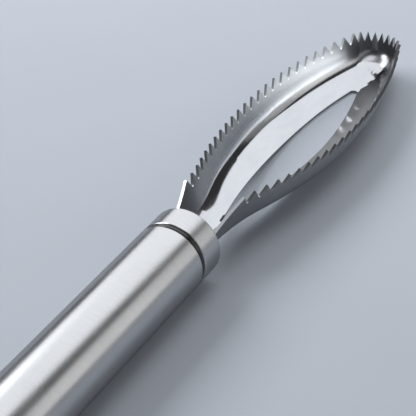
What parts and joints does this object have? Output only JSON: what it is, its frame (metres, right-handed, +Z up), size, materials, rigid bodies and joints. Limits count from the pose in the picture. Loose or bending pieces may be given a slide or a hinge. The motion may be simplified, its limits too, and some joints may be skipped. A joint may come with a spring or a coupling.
{
  "type": "fish scaler",
  "caption": "Hand fish scaler: leaf-shaped steel scoop with a saw-toothed rim and a long slotted bottom, on a straight round brushed-metal handle with a black ring and collar.",
  "frame": {"origin": "middle of the whole length and width, on the surface that the handle and the head lie on", "axes": "+X along the handle towards the head's tip, +Z up out of the scoop's open side, +Y across the head"},
  "size_m": [0.232, 0.0348, 0.02],
  "materials": {
    "polished_sheet": "mirror polished",
    "brushed_tube": "finely brushed",
    "black_plastic": "glossy",
    "core_plastic": "matt"
  },
  "bodies": {
    "root": {"scaler_head": "polished_sheet", "collar": "brushed_tube", "spacer_ring": "black_plastic", "handle_tube": "brushed_tube", "tang_core": "core_plastic", "end_cap": "brushed_tube"}
  },
  "joints": []
}
